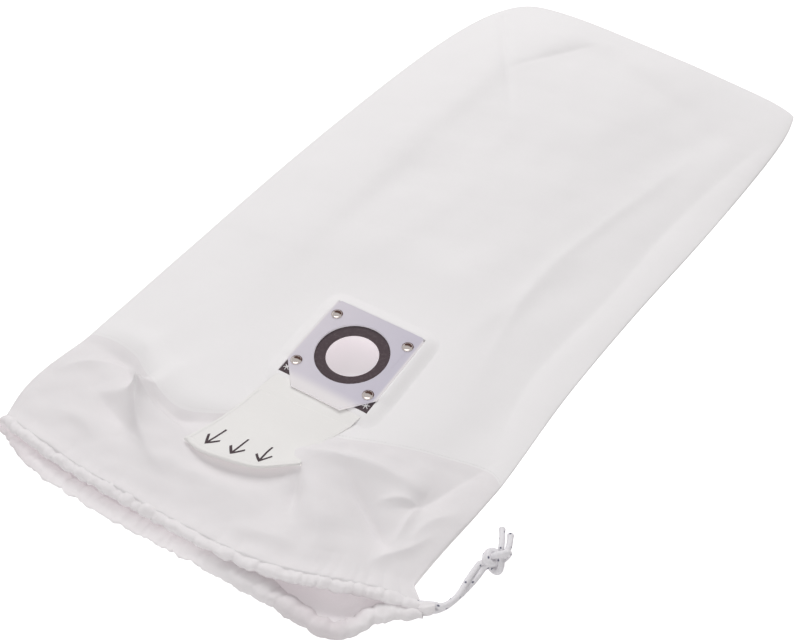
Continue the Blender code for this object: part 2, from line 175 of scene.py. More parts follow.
# Share and width of each ring of a sewn thread
THREAD_RINGS = ((-0.5, 0.25), (-0.42, 0.75), (-0.2, 1.0), (0.2, 1.0), (0.42, 0.75), (0.5, 0.25))

# Painted glow on the cloth that stands in for the floor's light: from this height to that one, and how strong
# at each
FLOOR_GLOW_PAINT = (0.004, 0.013, 0.28, 0.0)


# ---- small tools


def ease(value):
    value = np.clip(value, 0.0, 1.0)
    return value * value * (3.0 - 2.0 * value)


def spline(points, shares):
    """Smooth curve through evenly spaced points, at shares from 0 to 1."""
    points = np.asarray(points, float)
    shares = np.asarray(shares, float)
    spans = len(points) - 1
    place = np.clip(shares, 0.0, 1.0) * spans
    index = np.minimum(place.astype(int), spans - 1)
    t = place - index
    if points.ndim > 1:
        t = t[..., None]
    before, here = points[np.maximum(index - 1, 0)], points[index]
    after, beyond = points[index + 1], points[np.minimum(index + 2, spans)]
    return (
        before * (-0.5 * t ** 3 + t ** 2 - 0.5 * t)
        + here * (1.5 * t ** 3 - 2.5 * t ** 2 + 1.0)
        + after * (-1.5 * t ** 3 + 2.0 * t ** 2 + 0.5 * t)
        + beyond * (0.5 * t ** 3 - 0.5 * t ** 2)
    )


def lengths_along(path):
    steps = np.linalg.norm(np.diff(path, axis=0), axis=1)
    return np.concatenate([[0.0], np.cumsum(steps)])


def at_lengths(path, wanted):
    """Points of a path at the given distances from its start."""
    along = lengths_along(path)
    return np.stack([np.interp(wanted, along, path[:, axis]) for axis in range(3)], axis=1)


def resample(path, count):
    """The same path with evenly spaced points."""
    return at_lengths(path, np.linspace(0.0, lengths_along(path)[-1], count))


def path_frames(path, first_side):
    """Two directions across a path at each point, turned as little as possible along it."""
    ahead = np.gradient(path, axis=0)
    ahead /= np.linalg.norm(ahead, axis=1)[:, None]
    side = np.array(first_side, float)
    sides = []
    for tangent in ahead:
        side = side - tangent * (side @ tangent)
        side /= np.linalg.norm(side)
        sides.append(side)
    sides = np.array(sides)
    return sides, np.cross(ahead, sides)


def full_turn(count):
    return np.linspace(0.0, 2.0 * math.pi, count, endpoint=False)


def tube_points(path, first_side, turn, wide, high):
    """Points round a path at the given turns: wide towards its side and high towards its rise."""
    side, rise = path_frames(path, first_side)
    return (
        path[:, None, :]
        + (wide * np.cos(turn))[:, :, None] * side[:, None, :]
        + (high * np.sin(turn))[:, :, None] * rise[:, None, :]
    )


def grid_faces(rows, columns, closed=False):
    """Quads of a grid, whose last column joins its first one where it is closed."""
    index = np.arange(rows * columns).reshape(rows, columns)
    if closed:
        index = np.concatenate([index, index[:, :1]], axis=1)
    return np.stack([index[:-1, :-1], index[:-1, 1:], index[1:, 1:], index[1:, :-1]], -1).reshape(-1, 4)


def link(name, data):
    """A new object with this data, in the scene."""
    thing = bpy.data.objects.new(name, data)
    bpy.context.scene.collection.objects.link(thing)
    return thing


def add_mesh(name, points, faces, material, merge=0.0):
    mesh = bpy.data.meshes.new(name)
    mesh.from_pydata(np.asarray(points).reshape(-1, 3).tolist(), [], [list(map(int, f)) for f in faces])
    if merge:
        work = bmesh.new()
        work.from_mesh(mesh)
        bmesh.ops.remove_doubles(work, verts=work.verts, dist=merge)
        work.to_mesh(mesh)
        work.free()
    mesh.shade_smooth()
    mesh.materials.append(material)
    return link(name, mesh)


def assign(piece, body=None, nodes=()):
    """Says which body carries a piece and which CAD nodes it stands for."""
    if body:
        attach(piece, body)
    if nodes:
        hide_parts(*nodes)


def thicken(thing, thickness, lining=None, rim=False):
    """Gives a cloth surface its thickness, towards the inside, and a lined one its lining."""
    solidify = thing.modifiers.new("thickness", "SOLIDIFY")
    solidify.thickness = thickness
    solidify.offset = -1.0
    if lining is not None:
        solidify.use_rim = rim
        thing.data.materials.append(lining)
        solidify.material_offset = 1
        solidify.material_offset_rim = 1


def waves(x, y, size, seed):
    """Smooth random height between about -1 and 1, with features of the given size."""
    rng = np.random.default_rng(seed)
    total = np.zeros(np.broadcast(x, y).shape)
    for _ in range(WAVES):
        turn = rng.uniform(0.0, 2.0 * math.pi)
        pitch = size * rng.uniform(0.7, 1.6)
        phase = rng.uniform(0.0, 2.0 * math.pi)
        total += np.sin(2.0 * math.pi * (x * math.cos(turn) + y * math.sin(turn)) / pitch + phase)
    return total / math.sqrt(2.0 * WAVES)


# ---- materials


def new_material(name):
    material = bpy.data.materials.new(name)
    material.use_nodes = True
    tree = material.node_tree
    return material, tree, tree.nodes["Principled BSDF"]


def feed(tree, node, sources):
    """Gives each of these inputs of a node its value, or links it to another node's output."""
    for key, source in sources.items():
        if isinstance(source, bpy.types.NodeSocket):
            tree.links.new(source, node.inputs[key])
        else:
            node.inputs[key].default_value = source


def add_node(tree, kind, sources=None, **properties):
    """A shader node of this kind, with its properties set and its inputs fed."""
    node = tree.nodes.new(f"ShaderNode{kind}")
    for key, value in properties.items():
        setattr(node, key, value)
    feed(tree, node, sources or {})
    return node


def math_node(tree, operation, *sources):
    return add_node(tree, "Math", dict(enumerate(sources)), operation=operation).outputs[0]


def product(tree, first, second):
    return math_node(tree, "MULTIPLY", first, second)


def vector_node(tree, operation, *sources):
    return add_node(tree, "VectorMath", dict(enumerate(sources)), operation=operation).outputs


def parts_of(tree, vector):
    """X, Y and Z of a vector."""
    return add_node(tree, "SeparateXYZ", {0: vector}).outputs


def ramp(tree, value, low, high, at_low=0.0, at_high=1.0, kind="SMOOTHSTEP"):
    """Goes from at_low to at_high as the value goes from low to high."""
    return add_node(tree, "MapRange", {
        "Value": value, "From Min": low, "From Max": high, "To Min": at_low, "To Max": at_high,
    }, interpolation_type=kind).outputs[0]


def darker(colour, share):
    return tuple(share * c for c in colour)


def mix_colour(tree, share, *colours):
    first, second = (c if isinstance(c, bpy.types.NodeSocket) else (*c, 1.0) for c in colours)
    return add_node(tree, "Mix", {0: share, 6: first, 7: second}, data_type="RGBA").outputs[2]


def noise(tree, position, scale, detail=2.0, roughness=0.5):
    return add_node(tree, "TexNoise", {
        "Vector": position, "Scale": scale, "Detail": detail, "Roughness": roughness,
    }).outputs["Fac"]


def bump(tree, height, distance, strength, under=None):
    sources = {"Height": height, "Distance": distance, "Strength": strength}
    if under is not None:
        sources["Normal"] = under
    return add_node(tree, "Bump", sources).outputs[0]


def position_of(tree, scale=(1.0, 1.0, 1.0), turn=0.0):
    """Position in the bag's frame, optionally stretched and turned about Z."""
    place = add_node(tree, "TexCoord").outputs["Object"]
    return add_node(tree, "Mapping", {
        "Vector": place, "Rotation": (0.0, 0.0, turn), "Scale": scale,
    }).outputs[0]


def paint_cloth_glow(tree, shader, colour, through):
    """Painted glow: it stands in for daylight that comes through a lining, or for the light that the white
    floor throws on the outside's lowest part.
    """
    strength = through or ramp(tree, parts_of(tree, position_of(tree))[2], *FLOOR_GLOW_PAINT)
    feed(tree, shader, {"Emission Color": (*colour, 1.0), "Emission Strength": strength})


def fleece_material(name, colour, fibre=0.00025, through=0.0):
    """Thick nonwoven: short crossing fibres, soft lumps and slight changes of tone."""
    material, tree, shader = new_material(name)
    place = position_of(tree)
    lumps = noise(tree, place, 55.0, 3.0, 0.55)
    fine = noise(tree, place, 900.0, 2.0, 0.6)
    along = noise(tree, position_of(tree, (1.0, 0.12, 1.0), 0.5), 1100.0, 2.0, 0.6)
    crossing = noise(tree, position_of(tree, (0.12, 1.0, 1.0), 0.3), 1100.0, 2.0, 0.6)
    fibres = math_node(tree, "MAXIMUM", along, crossing)
    tone = mix_colour(tree, product(tree, lumps, fine), darker(colour, 0.955), colour)
    soft = bump(tree, lumps, 0.0010, 0.25)
    feed(tree, shader, {
        "Base Color": mix_colour(tree, fibres, tone, colour),
        "Normal": bump(tree, fibres, fibre, 0.5, soft),
        "Roughness": 0.95,
        "Specular IOR Level": 0.15,
        "Sheen Weight": 0.25,
        "Sheen Roughness": 0.6,
    })
    paint_cloth_glow(tree, shader, (1.0, 0.955, 0.965), through)
    return material


def skirt_material(name, colour, through=0.0):
    """Thin woven cloth: a fine square weave with a faint sheen."""
    material, tree, shader = new_material(name)
    thread = {
        "Vector": position_of(tree, turn=0.18), "Scale": 260.0, "Distortion": 0.6,
        "Detail": 1.0, "Detail Scale": 40.0,
    }
    weave = math_node(tree, "MAXIMUM", *(
        add_node(tree, "TexWave", thread, wave_type="BANDS", bands_direction=way).outputs["Fac"]
        for way in ("X", "Y")
    ))
    place = position_of(tree)
    cloud = noise(tree, place, 28.0, 3.0, 0.6)
    soft = bump(tree, noise(tree, place, 140.0, 3.0, 0.55), 0.0009, 0.35)
    feed(tree, shader, {
        "Base Color": mix_colour(tree, cloud, darker(colour, 0.95), colour),
        "Normal": bump(tree, weave, 0.00008, 0.5, soft),
        "Roughness": 0.62,
        "Specular IOR Level": 0.3,
        "Sheen Weight": 0.15,
    })
    paint_cloth_glow(tree, shader, (1.0, 0.94, 0.955), through)
    return material


def hem_material(name, colour):
    """Skirt cloth in two layers: a painted glow stands in for light through the lower lip, and painted shade
    darkens the low parts towards both corners.
    """
    material = skirt_material(name, colour, 0.05)
    tree = material.node_tree
    x, _, z = parts_of(tree, position_of(tree))
    # Painted glow above the lowest part, with more of it on the lower lip towards its left end.
    above = ramp(tree, z, 0.006, 0.013)
    below = ramp(tree, z, 0.0165, 0.021, 1.0, 0.0)
    lower_lip_glow = product(tree, product(tree, above, below), ramp(tree, x, 0.01, 0.09, 0.16, 0.0))
    # Painted shade: the low parts at the left end and towards the cord's exit are darkened and tinted pink.
    left = ramp(tree, x, -0.185, -0.12, 1.0, 0.0)
    right = product(tree, ramp(tree, x, 0.09, 0.145, 0.0, 0.9), ramp(tree, x, 0.172, 0.19, 1.0, 0.0))
    low = ramp(tree, z, 0.017, 0.023, 1.0, 0.0)
    painted_shade = product(tree, math_node(tree, "MAXIMUM", left, right), low)
    shader = tree.nodes["Principled BSDF"]
    unshaded = shader.inputs["Base Color"].links[0].from_socket
    shaded_colour = tuple(share * c for share, c in zip((0.81, 0.78, 0.79), colour))
    feed(tree, shader, {
        "Base Color": mix_colour(tree, painted_shade, unshaded, shaded_colour),
        "Emission Strength": math_node(tree, "ADD", product(tree, above, 0.05), lower_lip_glow),
    })
    return material


def plate_material(name):
    """Milky plastic: it looks lilac where the black rubber is right below it and paler beyond, and its side
    walls have a painted glow.
    """
    material, tree, shader = new_material(name)
    place = position_of(tree)
    local = vector_node(tree, "SUBTRACT", place, (*PORT_CENTRE, 0.0))[0]
    turned = add_node(tree, "Mapping", {"Vector": local, "Rotation": (0.0, 0.0, -PORT_TURN)})
    x, y, _ = parts_of(tree, turned.outputs[0])
    past_side = math_node(tree, "SUBTRACT", math_node(tree, "ABSOLUTE", x), 0.0483)
    past_front = math_node(tree, "SUBTRACT", product(tree, y, -1.0), 0.0475)
    sides, front = ramp(tree, past_side, -0.0016, 0.0016), ramp(tree, past_front, -0.0065, 0.0065)
    bare = math_node(tree, "MAXIMUM", sides, front)
    cloud = noise(tree, place, 60.0)
    to_right = ramp(tree, x, -0.05, 0.05, kind="LINEAR")
    clear = mix_colour(tree, to_right, (0.635, 0.600, 0.655), (0.540, 0.515, 0.600))
    lilac = mix_colour(tree, product(tree, cloud, 0.3), clear, (0.50, 0.475, 0.545))
    scuffs = noise(tree, position_of(tree, (1.0, 0.2, 1.0), 0.7), 420.0, 3.0)
    # Painted glow, weak on the top and strongest on the side walls.
    facing = add_node(tree, "NewGeometry").outputs["Normal"]
    upward = math_node(tree, "ABSOLUTE", parts_of(tree, facing)[2])
    feed(tree, shader, {
        "Base Color": mix_colour(tree, bare, lilac, (0.755, 0.725, 0.735)),
        "Roughness": ramp(tree, scuffs, 0.0, 1.0, 0.26, 0.46, "LINEAR"),
        "Normal": bump(tree, cloud, 0.0002, 0.5),
        "Emission Color": (1.0, 0.95, 0.98, 1.0),
        "Emission Strength": ramp(tree, upward, 0.9, 0.2, 0.03, 0.24, "LINEAR"),
    })
    return material


def rubber_material(name):
    """Black rubber with fine rings round the hose hole."""
    material, tree, shader = new_material(name)
    place = position_of(tree)
    local = vector_node(tree, "SUBTRACT", place, (*PORT_CENTRE, 0.0))[0]
    radius = vector_node(tree, "LENGTH", vector_node(tree, "MULTIPLY", local, (1.0, 1.0, 0.0))[0])["Value"]
    rings = math_node(tree, "SINE", product(tree, radius, 2.0 * math.pi / RING_PITCH))
    grain = noise(tree, place, 1300.0, 3.0, 0.65)
    dust = ramp(tree, noise(tree, place, 300.0, 4.0, 0.7), 0.5, 0.8, kind="LINEAR")
    base = mix_colour(tree, grain, (0.052, 0.036, 0.042), (0.100, 0.072, 0.082))
    ringed = bump(tree, rings, 0.00012, 0.7)
    feed(tree, shader, {
        "Base Color": mix_colour(tree, dust, base, (0.13, 0.105, 0.11)),
        "Normal": bump(tree, grain, 0.0002, 0.5, ringed),
        "Roughness": 0.62,
    })
    return material


def metal_material(name):
    material, tree, shader = new_material(name)
    place = position_of(tree)
    stain = noise(tree, place, 500.0, 3.0)
    feed(tree, shader, {
        "Base Color": mix_colour(tree, stain, (0.90, 0.80, 0.75), (0.96, 0.91, 0.88)),
        "Roughness": ramp(tree, noise(tree, place, 1500.0), 0.0, 1.0, 0.08, 0.2, "LINEAR"),
        "Metallic": 1.0,
    })
    return material


def cord_material(name):
    """White braid with dark blue flecks, which the mesh marks in its own attribute."""
    material, tree, shader = new_material(name)
    fleck = add_node(tree, "Attribute", attribute_name="fleck").outputs["Fac"]
    fine = noise(tree, position_of(tree), 1600.0)
    white = mix_colour(tree, fine, (0.70, 0.68, 0.71), (0.86, 0.85, 0.87))
    feed(tree, shader, {
        "Base Color": mix_colour(tree, fleck, white, (0.055, 0.06, 0.12)),
        "Normal": bump(tree, fine, 0.00015, 0.6),
        "Roughness": 0.7,
        "Sheen Weight": 0.2,
    })
    return material


def plain_material(name, colour, roughness, grain=900.0, light=0.0):
    """One colour with a fine grain, which may shine in it."""
    material, tree, shader = new_material(name)
    fine = noise(tree, position_of(tree), grain)
    feed(tree, shader, {
        "Base Color": mix_colour(tree, fine, darker(colour, 0.82), colour),
        "Normal": bump(tree, fine, 0.0001, 0.5),
        "Roughness": roughness,
        "Emission Color": (*colour, 1.0),
        "Emission Strength": light,
    })
    return material


# The linings glow with painted light that stands in for daylight through the thin cloth; the outer cloth has
# a painted glow low down for the floor's light.
FLEECE_LOOK = fleece_material("white_fleece", (0.83, 0.815, 0.82))
FLEECE_LINING = fleece_material("fleece_lining", (0.83, 0.80, 0.81), through=0.27)
SKIRT_LOOK = skirt_material("skirt_cloth", (0.80, 0.775, 0.785))
SKIRT_LINING = skirt_material("skirt_lining", (0.80, 0.77, 0.785), through=0.14)
TAB_LOOK = fleece_material("tab_cloth", (0.815, 0.802, 0.787), 0.00012)
TAB_LINING = fleece_material("tab_lining", (0.80, 0.77, 0.75), 0.00012, through=0.30)
HEM_LOOK = hem_material("hem_cloth", (0.79, 0.765, 0.775))
PLATE_LOOK = plate_material("milky_plastic")
RUBBER_LOOK = rubber_material("black_rubber")
METAL_LOOK = metal_material("polished_nickel")
CORD_LOOK = cord_material("flecked_braid")
THREAD_LOOK = plain_material("white_thread", (0.88, 0.87, 0.87), 0.6, 2500.0)
PRINT_LOOK = plain_material("brown_print", (0.085, 0.062, 0.07), 0.7, 1500.0)


# ---- camera and cords


def add_camera():
    data = bpy.data.cameras.new("camera")
    data.lens = CAMERA_LENS
    data.sensor_width = 36.0
    camera = link("camera", data)
    right, up = Vector(CAMERA_RIGHT), Vector(CAMERA_UP)
    turn = Matrix((right, up, right.cross(up))).transposed()
    camera.matrix_world = Matrix.Translation(CAMERA_AT) @ turn.to_4x4()
    bpy.context.scene.camera = camera


def flecks_at(along, turn, total, seed):
    """Where the cord's dark flecks are: 1 on a fleck, 0 off it. They wind round the cord."""
    rng = np.random.default_rng(seed)
    fleck = np.zeros(np.broadcast(along, turn).shape)
    place, where = 0.002, rng.uniform(0.0, 6.28)
    while place < total:
        gap = np.abs((turn - where + math.pi) % (2.0 * math.pi) - math.pi) * CORD_RADIUS
        reach = np.hypot((along - place) * 0.8, gap)
        fleck = np.maximum(fleck, 1.0 - ease((reach - FLECK_RADIUS) / 0.0005))
        place += rng.uniform(*FLECK_PITCH)
        where += FLECK_TURN
    return fleck


def braid_tube(name, path, seed, flare=0.0):
    """A braided cord along a path: two sets of strands crossing on its skin, with dark flecks."""
    total = lengths_along(path)[-1]
    path = resample(path, max(int(total / BRAID_STEP), 8))
    rows = len(path)
    along, turn = lengths_along(path)[:, None], full_turn(BRAID_SIDES)[None, :]
    pitch = 2.0 * math.pi * along / BRAID_PITCH
    lay = np.maximum(np.cos(4.0 * turn + 2.0 * pitch), np.cos(4.0 * turn - 2.0 * pitch))
    radius = CORD_RADIUS * (0.955 + 0.05 * lay) * (1.0 + flare * ease((along - total + 0.005) / 0.005))
    points = tube_points(path, (0.3, 0.2, 1.0), turn, radius, radius)
    faces = grid_faces(rows, BRAID_SIDES, closed=True).tolist()
    faces += [list(range(BRAID_SIDES))[::-1], list(range((rows - 1) * BRAID_SIDES, rows * BRAID_SIDES))]
    tube = add_mesh(name, points, faces, CORD_LOOK)
    mark = tube.data.attributes.new("fleck", "FLOAT", "POINT")
    mark.data.foreach_set("value", flecks_at(along, turn, total, seed).ravel().astype(np.float32))
    return tube


def strand_path(sign, route):
    """A strand's way from inside the exit sleeve to the knot."""
    end, knot = np.array(EXIT_END), np.array(KNOT_CENTRE)
    ahead = (end - EXIT_START) / np.linalg.norm(end - EXIT_START)
    side = np.array((-ahead[1] * CORD_SPREAD[0], ahead[0] * CORD_SPREAD[0], CORD_SPREAD[1]))
    inside = [end + side * sign - ahead * CORD_RESERVE * share for share in (1.0, 0.5, 0.0)]
    path = spline([*inside, *route], np.linspace(0.0, 1.0, 26))
    return np.vstack([path, path[-1] * 0.55 + knot * 0.45])


def knot_path(offset):
    """One strand of an overhand knot in the doubled cord: a trefoil opened at its outer turn."""
    t = np.linspace(0.0, 2.0 * math.pi, 90)
    flat = np.stack([
        np.sin(t) + 2.0 * np.sin(2.0 * t),
        np.cos(t) - 2.0 * np.cos(2.0 * t),
        -np.sin(3.0 * t) * 1.25,
    ], axis=1)
    turn = Matrix.Rotation(KNOT_TURN, 3, "Z") @ Matrix.Rotation(KNOT_TILT, 3, "X")
    loop = flat @ np.array(turn.transposed()) * KNOT_SIZE
    side, _ = path_frames(loop, (0.0, 0.0, 1.0))
    return loop + side * offset + np.array(KNOT_CENTRE)


def add_cords():
    knot = braid_tube("cord_knot_wraps", knot_path(-KNOT_SPREAD), 32)
    upper = braid_tube("knot_wrap_upper", knot_path(KNOT_SPREAD), 31)
    with bpy.context.temp_override(active_object=knot, selected_editable_objects=[knot, upper]):
        bpy.ops.object.join()
    assign(knot, "drawstring", ["cord_knot"])
    for number, (name, (sign, route)) in enumerate(STRANDS.items()):
        tail_route = spline(TAILS[name], np.linspace(0.0, 1.0, 12))
        inward = np.array(KNOT_CENTRE) * 0.35 + tail_route[0] * 0.65
        tail = braid_tube(f"drawstring_tail_{name}", np.vstack([inward, tail_route]), 41 + number, flare=0.16)
        assign(tail, "drawstring", [f"cord_end_{name}"])
        path = strand_path(sign, route)
        strand = braid_tube(f"drawstring_{name}", path, 51 + number)
        assign(strand, "drawstring", [f"cord_strand_{name}"])


# ---- relief of the cloth


# Folds of the top, in mm: points (x, y, height), width on their left and right, and sharpness.
# Left and right are seen walking along the points.
FOLD_GAIN = 1.75
FOLD_WIDTH = 0.88
SKIRT_FOLDS = (
    # valley under the seam at the left, then under the tab
    (((-214, -287, -1), (-182, -288, -4), (-151, -292, -6), (-128, -302, -7), (-104, -311, -6),
      (-72, -312, -5), (-46, -300, -4), (-20, -284, -3), (20, -270, -2), (50, -262, -1)), 11, 13, 1.6),
    # the sharp peak and its three ridges
    (((-126, -303, 3), (-115, -309, 11), (-104, -324, 8), (-89, -338, 5), (-60, -355, 3),
      (-26, -365, 0)), 16, 9, 1.2),
    (((-120, -301, 0), (-115, -309, 3), (-105, -324, 3), (-90, -338, 2), (-72, -350, 0)), 4, 4, 1.2),
    (((-115, -309, 6), (-91, -315, 5), (-71, -318, 4), (-51, -321, 2), (-30, -330, 0)), 6, 12, 1.2),
    (((-117, -310, 5), (-132, -322, 3), (-152, -334, 1), (-175, -345, 0)), 10, 14, 1.3),
    (((-96, -347, -3), (-121, -340, -4), (-147, -332, -2), (-165, -330, 0)), 12, 14, 1.6),
    # left side folds
    (((-208, -335, 0), (-193, -315, 3), (-166, -301, 4), (-146, -294, 2)), 8, 10, 1.3),
    # right of the tab: the bright fold, the dark side under it, and the valley
    (((44, -272, 0), (52, -275, 3), (69, -268, 6), (89, -259, 7), (119, -252, 6), (148, -247, 3),
      (160, -246, 0)), 10, 22, 1.3),
    (((70, -250, 0), (84, -262, -3), (103, -277, -6), (126, -289, -7), (150, -300, -6),
      (168, -306, -2)), 13, 15, 1.15),
    (((60, -290, 1), (86, -305, 4), (108, -325, 4), (120, -345, 1)), 24, 16, 1.6),
    (((58, -288, 0), (66, -303, -4), (74, -318, -5), (82, -332, -1)), 5, 9, 1.3),
    # lines towards the right edge
    (((186, -191, -1), (176, -217, -3), (169, -238, -4), (161, -260, -4), (150, -268, -2)), 8, 12, 1.2),
    (((130, -281, 0), (142, -268, 3), (155, -260, 3), (166, -262, 0)), 6, 6, 1.2),
    (((165, -297, 2), (163, -279, 3), (161, -264, 2)), 5, 7, 1.2),
    (((190, -266, 0), (180, -294, 3), (168, -312, 3), (160, -326, 0)), 7, 7, 1.2),
    (((196, -238, 0), (182, -258, 2), (176, -275, 2), (178, -290, 0)), 8, 6, 1.3),
    # soft folds between the tab and the hem
    (((-60, -352, 0), (-20, -350, 2), (30, -345, 2), (62, -346, 0)), 10, 14, 1.8),
    (((-180, -368, 0), (-140, -362, 2), (-110, -372, 0)), 10, 10, 1.5),
    (((40, -372, 0), (80, -358, 2), (105, -352, 0)), 10, 10, 1.6),
)
BODY_FOLDS = (
    # the fleece's thick sewn edge
    (((-205, -266, 2), (-178, -264, 4), (-151, -266, 5), (-128, -274, 4), (-100, -284, 3), (-72, -286, 2),
      (-46, -276, 1), (-20, -262, 0)), 16, 12, 1.8),
    # folds that run from the seam up the left side
    (((-150, -262, 2), (-138, -225, 1), (-128, -180, 0)), 14, 14, 1.8),
    (((-104, -276, 2), (-92, -240, 1), (-84, -205, 0)), 14, 14, 1.8),
    # crease across the far left corner
    (((-160, 356, 0), (-150, 342, -5), (-118, 297, -5), (-86, 253, -4), (-60, 220, -2),
      (-40, 192, 0)), 5, 6, 1.2),
    (((-95, 240, 0), (-74, 280, -1.2), (-55, 314, -1.6), (-36, 346, -1), (-22, 356, 0)), 4, 6, 1.3),
    # soft lines down the right side
    (((150, 300, 0), (134, 200, 1), (118, 112, 2), (108, 40, 2), (110, -24, 2), (124, -110, 1),
      (140, -182, 0)), 9, 9, 1.6),
    (((206, 362, 0), (190, 298, -2), (173, 168, -3), (171, 50, -3), (164, -88, -3),
      (184, -178, -1)), 10, 14, 1.5),
    (((82, -120, 0), (96, -60, 2), (112, 20, 1), (122, 90, 0)), 14, 14, 1.7),
)
# Line inside the body's edge where its raised border drops to the sunken middle (x, y, drop)
RIM = (
    (-104, -150, 0), (-102, -98, 3), (-103, -64, 5), (-98, 28, 6), (-91, 118, 6), (-88, 200, 6),
    (-80, 262, 6), (-35, 346, 6), (40, 342, 6), (146, 314, 5), (152, 270, 3), (150, 225, 1), (146, 180, 0),
)


def nearest_on(points, x, y):
    """Signed distance to a smooth line (left is positive) and the line's third value there."""
    line = spline(points, np.linspace(0.0, 1.0, 6 * (len(points) - 1) + 1))
    best = np.full(x.shape, 1e9)
    signed = np.zeros(x.shape)
    value = np.zeros(x.shape)
    for first, second in zip(line[:-1], line[1:]):
        run = second[:2] - first[:2]
        share = ((x - first[0]) * run[0] + (y - first[1]) * run[1]) / (run @ run)
        share = np.clip(share, 0.0, 1.0)
        off_x = x - first[0] - run[0] * share
        off_y = y - first[1] - run[1] * share
        distance = np.hypot(off_x, off_y)
        side = np.where(run[0] * off_y - run[1] * off_x >= 0.0, 1.0, -1.0)
        closer = distance < best
        best = np.where(closer, distance, best)
        signed = np.where(closer, distance * side, signed)
        value = np.where(closer, first[2] + (second[2] - first[2]) * share, value)
    return signed, value


def folds_at(folds, x, y):
    """Height of all the given folds, in metres."""
    x, y = x / MM, y / MM
    total = np.zeros(x.shape)
    for points, left, right, sharp in folds:
        signed, height = nearest_on(points, x, y)
        width = FOLD_WIDTH * np.where(signed > 0.0, left, right)
        total += height * np.exp(-(np.sqrt(signed ** 2 + 0.6) / width) ** sharp)
    return total * MM


def rim_at(x, y):
    """The raised border round the sunken middle of the body, in metres."""
    signed, drop = nearest_on(RIM, x / MM, y / MM)
    return drop * (0.5 + 0.5 * np.tanh(signed / 13.0)) * MM


# ---- body and skirt surfaces


def crowded(shares, crowd):
    """Shares that lie closer together towards 1 and -1."""
    return np.sin(0.5 * math.pi * crowd * shares) / math.sin(0.5 * math.pi * crowd)


def across_stations():
    """Columns from the left fold (-1) to the right one (1)."""
    return crowded(np.linspace(-1.0, 1.0, COLUMNS), SIDE_CROWD)


def seam_drift(x):
    """How far the draped seam on the top lies from the straight sewn line."""
    smooth = spline(SEAM_LINE, np.linspace(0.0, 1.0, 4 * len(SEAM_LINE)))
    drift = smooth[:, 1] - (SEAM_Y + SEAM_SKEW * smooth[:, 0])
    return np.interp(x, smooth[:, 0], drift, left=0.0, right=0.0)


def body_plan(across, along, top):
    """Where the body's grid points lie on the plan, from its seam (0) to its closed end (1)."""
    left, right = spline(LEFT_EDGE, along), spline(RIGHT_EDGE, along)
    x = left + (right - left) * (across + 1.0) / 2.0
    skew = SEAM_SKEW * (1.0 - along) ** 1.5 + FAR_SKEW * along ** 3
    y = SEAM_Y + (FAR_Y - SEAM_Y) * along + skew * x
    if top:
        y = y + seam_drift(x) * (1.0 - along) ** 7
    pull = np.where(across < 0.0, *CORNER_PULL)
    corner = pull * np.abs(across) ** 6 * along ** 14
    return x - np.sign(across) * corner, y - corner


def port_distance(x, y):
    return np.hypot(x - PORT_CENTRE[0], y - PORT_CENTRE[1])


def body_height(x, y):
    """Height of the body's top away from its folds."""
    off_x, off_y = (x - PUFF_CENTRE[0]) / PUFF_SIZE[0], (y - PUFF_CENTRE[1]) / PUFF_SIZE[1]
    height = BODY_TOP + PUFF * np.exp(-off_x ** 2 - off_y ** 2) - RIGHT_DROP * ease((x - 0.03) / 0.16)
    height = height + rim_at(x, y) + folds_at(BODY_FOLDS, x, y)
    height = height + 0.0012 * waves(x, y, 0.11, 3) + 0.00035 * waves(x, y, 0.035, 4)
    flat = 1.0 - ease((port_distance(x, y) - FLAT_FROM) / (FLAT_TO - FLAT_FROM))
    return height + (PORT_FLAT - height) * flat


def seam_relief(x, y):
    """Folds of the skirt, which run on a little into the fleece but not to the port."""
    return FOLD_GAIN * folds_at(SKIRT_FOLDS, x, y) * ease((port_distance(x, y) - 0.070) / 0.028)


def side_rise(across, along=0.0):
    """How far the top has risen from the folds at its sides and closed end, from 0 to 1."""
    return np.sqrt(np.clip((1.0 - np.abs(across) ** 3) * (1.0 - along ** 11), 0.0, 1.0))


def body_grid(top, folded=True):
    across = across_stations()[None, :]
    along = crowded(np.linspace(0.0, 1.0, BODY_ROWS), END_CROWD)[:, None]
    x, y = body_plan(across, along, top)
    if top:
        height = body_height(x, y)
        if folded:
            height = height + np.where(along < 0.2, seam_relief(x, y), 0.0)
        z = FOLD_Z + (height - FOLD_Z) * side_rise(across, along)
    else:
        fall = np.sqrt(np.clip((1.0 - np.abs(across) ** 12) * (1.0 - along ** 34), 0.0, 1.0))
        z = FOLD_Z * (1.0 - fall) + 0.0002
    return np.stack(np.broadcast_arrays(x, y, z), axis=-1)


def add_ring(name, top, bottom, material, merge):
    """A cloth ring whose rows run over the top from left to right and back under the bottom."""
    ring = np.concatenate([top, bottom[:, -2:0:-1]], axis=1)
    return add_mesh(name, ring, grid_faces(*ring.shape[:2], closed=True), material, merge)


def open_port(thing):
    """Cuts the round hole under the hose port."""
    centre = Vector((*PORT_CENTRE, 0.0))
    work = bmesh.new()
    work.from_mesh(thing.data)
    inside = [
        face for face in work.faces
        if face.normal.z > 0.5 and (face.calc_center_median() - centre).xy.length < CLOTH_HOLE
    ]
    bmesh.ops.delete(work, geom=inside, context="FACES")
    for vertex in work.verts:
        off = (vertex.co - centre).xy
        if vertex.is_boundary and off.length < 1.3 * CLOTH_HOLE:
            off = off.normalized() * CLOTH_HOLE
            vertex.co.x, vertex.co.y = centre.x + off.x, centre.y + off.y
    work.to_mesh(thing.data)
    work.free()


def add_body():
    body = add_ring("fleece_body", body_grid(True), body_grid(False), FLEECE_LOOK, 1e-5)
    open_port(body)
    thicken(body, FLEECE, FLEECE_LINING)
    seams = [f"seam_allowance_{side}" for side in ("left", "right", "end")]
    assign(body, "bag", ["fleece_front", "fleece_back", *seams])


